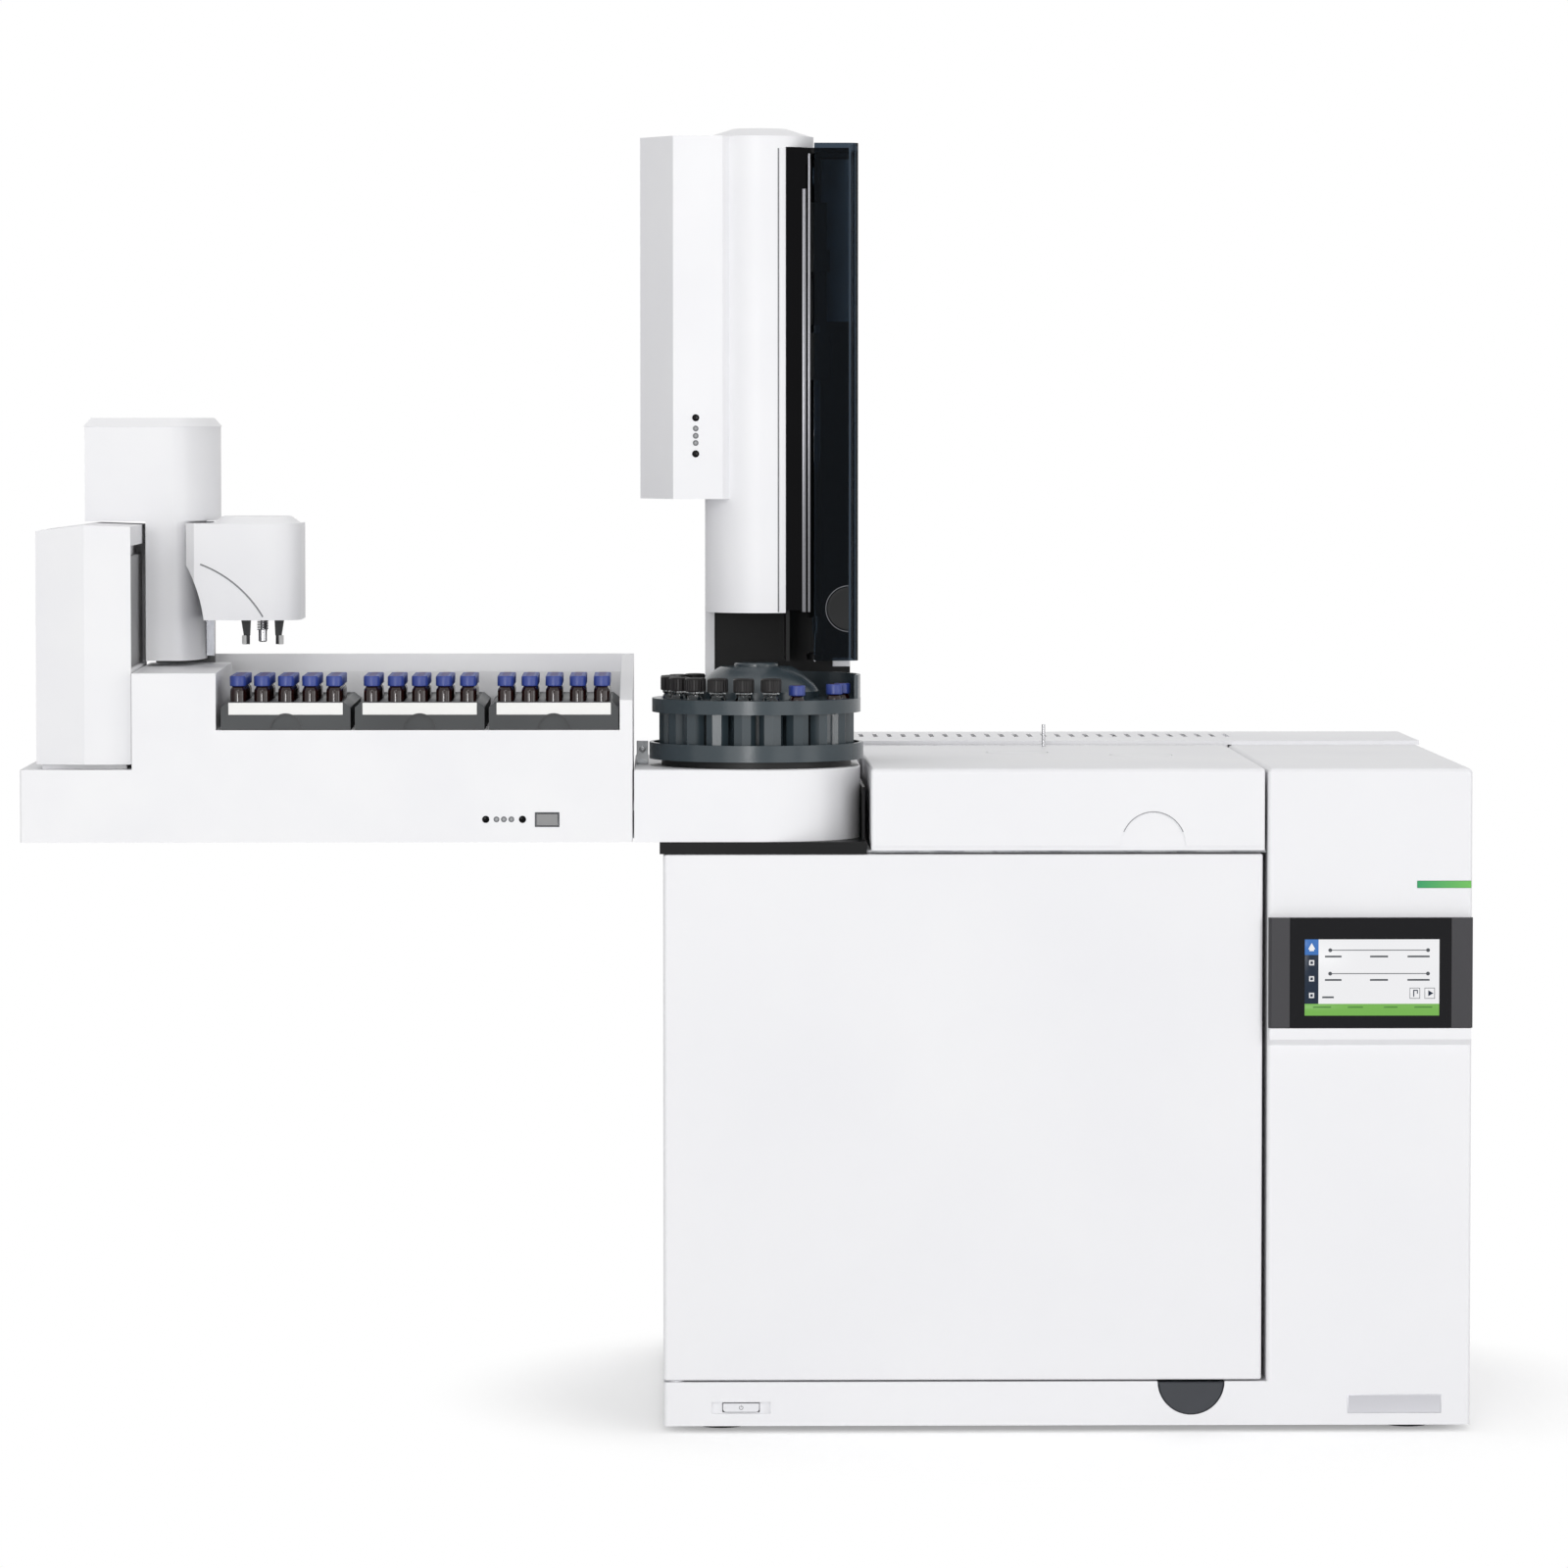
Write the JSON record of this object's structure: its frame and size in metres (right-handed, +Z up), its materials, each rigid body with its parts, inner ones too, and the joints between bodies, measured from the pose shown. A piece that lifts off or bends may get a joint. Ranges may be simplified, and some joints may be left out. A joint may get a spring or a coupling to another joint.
{
  "type": "gas chromatograph",
  "caption": "Gas chromatograph with oven, touchscreen column, liquid injector tower with bottle turret and a side sample tray with a vial gantry.",
  "frame": {"origin": "middle of the whole footprint, at the bench that the feet stand on", "axes": "+X from the sample tray to the electronics column, +Y from the front to the back, +Z up"},
  "size_m": [1.0446, 0.561, 0.9428],
  "materials": {
    "shell_white": "satin powder coat",
    "cover_white": "fine satin moulding",
    "tray_white": "fine satin moulding",
    "tower_white": "satin moulding",
    "galvanised": "plain sheet",
    "stainless": "brushed",
    "polished_steel": "polished",
    "feet_rubber": "matt",
    "gasket_black": "matt",
    "dark_bracket": "satin",
    "turret_grey": "satin moulding",
    "rack_grey": "matt moulding",
    "latch_grey": "satin moulding",
    "button_white": "satin moulding",
    "park_grey": "satin moulding",
    "chassis_black": "satin",
    "gloss_black": "gloss",
    "screen_black": "polished",
    "bezel_grey": "satin moulding",
    "strip_green": "lit diffuser",
    "smoke_tint": "smoke-tinted",
    "clear_glass": "clear",
    "amber_glass": "amber",
    "copper_coil": "polyimide-coated",
    "brass_fitting": "turned",
    "heater_dark": "oxidised",
    "carriage_grey": "satin anodised",
    "socket_black": "matt"
  },
  "bodies": {
    "mainframe": {"base_pan": "shell_white", "feet": "feet_rubber", "side_panel": "shell_white", "rear_panel": "galvanised", "top_cover": "shell_white", "top_deck": "galvanised", "oven_liner": "stainless", "fan_shroud": "stainless", "oven_heater": "heater_dark", "fan_motor": "dark_bracket", "column_cage": "polished_steel", "column_coil": "copper_coil", "electronics_cover": "shell_white", "screen_bezel": "bezel_grey", "screen_glass": "screen_black", "status_strip": "strip_green", "inlets": "polished_steel", "detectors": "stainless", "power_inlet": "socket_black", "gas_fittings": "brass_fitting", "sampler_mount": "dark_bracket", "tray_chassis": "galvanised", "injector_housing": "cover_white", "turret_seat": "socket_black", "tower_body": "tower_white", "tower_chassis": "chassis_black", "tower_guides": "gloss_black", "tray_base": "tray_white", "tray_deck": "tray_white", "tray_rail": "carriage_grey", "tray_pillar": "tray_white"},
    "lid": {"detector_lid": "shell_white", "vent_pin": "polished_steel"},
    "door": {"door_skin": "shell_white", "door_liner": "stainless", "door_gasket": "gasket_black"},
    "fan": {"oven_fan": "stainless"},
    "latch": {"oven_latch": "latch_grey"},
    "power": {"power_button": "button_white"},
    "turret": {"turret": "turret_grey", "turret_bottles": "clear_glass", "turret_vials": "amber_glass"},
    "tower_door": {"tower_door": "smoke_tint"},
    "syringe": {"syringe_carriage": "carriage_grey", "syringe": "clear_glass"},
    "plunger": {"plunger_carriage": "carriage_grey"},
    "carriage": {"tray_carriage": "carriage_grey"},
    "gantry": {"gantry_column": "tray_white", "gantry_rods": "polished_steel"},
    "head": {"gantry_head": "tray_white"},
    "left_finger": {"finger_left": "socket_black"},
    "right_finger": {"finger_right": "socket_black"},
    "gripper_plunger": {"gripper_plunger": "polished_steel"},
    "rack_1": {"rack_1": "rack_grey", "vials_1": "amber_glass"},
    "rack_2": {"rack_2": "rack_grey", "vials_2": "amber_glass"},
    "rack_3": {"rack_3": "rack_grey", "vials_3": "amber_glass"},
    "park": {"park_button": "park_grey"}
  },
  "joints": [
    {"name": "lid_hinge", "type": "hinge", "parent": "mainframe", "child": "lid", "pos_m": [0.23075, 0.095, 0.4763], "axis": [-1, 0, 0], "range_deg": [0, 80]},
    {"name": "door_hinge", "type": "hinge", "parent": "mainframe", "child": "door", "pos_m": [-0.0517, -0.2645, 0.233], "axis": [0, 0, -1], "range_deg": [0, 110]},
    {"name": "fan_spin", "type": "hinge", "parent": "mainframe", "child": "fan", "pos_m": [0.15525, -0.0855, 0.233], "axis": [0, 1, 0], "continuous": true},
    {"name": "latch_press", "type": "slide", "parent": "mainframe", "child": "latch", "axis": [0, 1, 0], "range_m": [0, 0.002], "stiffness_N_per_m": 900},
    {"name": "power_press", "type": "slide", "parent": "mainframe", "child": "power", "axis": [0, 1, 0], "range_m": [0, 0.002], "stiffness_N_per_m": 600},
    {"name": "turret_spin", "type": "hinge", "parent": "mainframe", "child": "turret", "pos_m": [0.0073, -0.1985, 0.4846], "axis": [0, 0, 1], "continuous": true},
    {"name": "tower_door_hinge", "type": "hinge", "parent": "mainframe", "child": "tower_door", "pos_m": [0.0507, -0.19059, 0.5931], "axis": [0, 0, -1], "range_deg": [0, 110]},
    {"name": "syringe_lift", "type": "slide", "parent": "mainframe", "child": "syringe", "axis": [0, 0, 1], "range_m": [-0.055, 0]},
    {"name": "plunger_lift", "type": "slide", "parent": "syringe", "child": "plunger", "axis": [0, 0, 1], "range_m": [0, 0.03]},
    {"name": "gantry_x", "type": "slide", "parent": "mainframe", "child": "carriage", "axis": [1, 0, 0], "range_m": [0, 0.285]},
    {"name": "gantry_y", "type": "slide", "parent": "carriage", "child": "gantry", "axis": [0, -1, 0], "range_m": [0, 0.095]},
    {"name": "head_z", "type": "slide", "parent": "gantry", "child": "head", "axis": [0, 0, 1], "range_m": [-0.026, 0]},
    {"name": "grip_left", "type": "slide", "parent": "head", "child": "left_finger", "axis": [1, 0, 0], "range_m": [0, 0.0045]},
    {"name": "grip_right", "type": "slide", "parent": "head", "child": "right_finger", "axis": [-1, 0, 0], "range_m": [0, 0.0045]},
    {"name": "plunger_press", "type": "slide", "parent": "head", "child": "gripper_plunger", "axis": [0, 0, 1], "range_m": [0, 0.005], "stiffness_N_per_m": 150},
    {"name": "park_press", "type": "slide", "parent": "mainframe", "child": "park", "axis": [0, 1, 0], "range_m": [0, 0.0015], "stiffness_N_per_m": 500},
    {"name": "rack_1_slide", "type": "slide", "parent": "mainframe", "child": "rack_1", "axis": [0, -1, 0], "range_m": [0, 0.17]},
    {"name": "rack_2_slide", "type": "slide", "parent": "mainframe", "child": "rack_2", "axis": [0, -1, 0], "range_m": [0, 0.17]},
    {"name": "rack_3_slide", "type": "slide", "parent": "mainframe", "child": "rack_3", "axis": [0, -1, 0], "range_m": [0, 0.17]}
  ],
  "couplings": [
    {"joint": "grip_right", "follows": "grip_left", "ratio": 1}
  ]
}
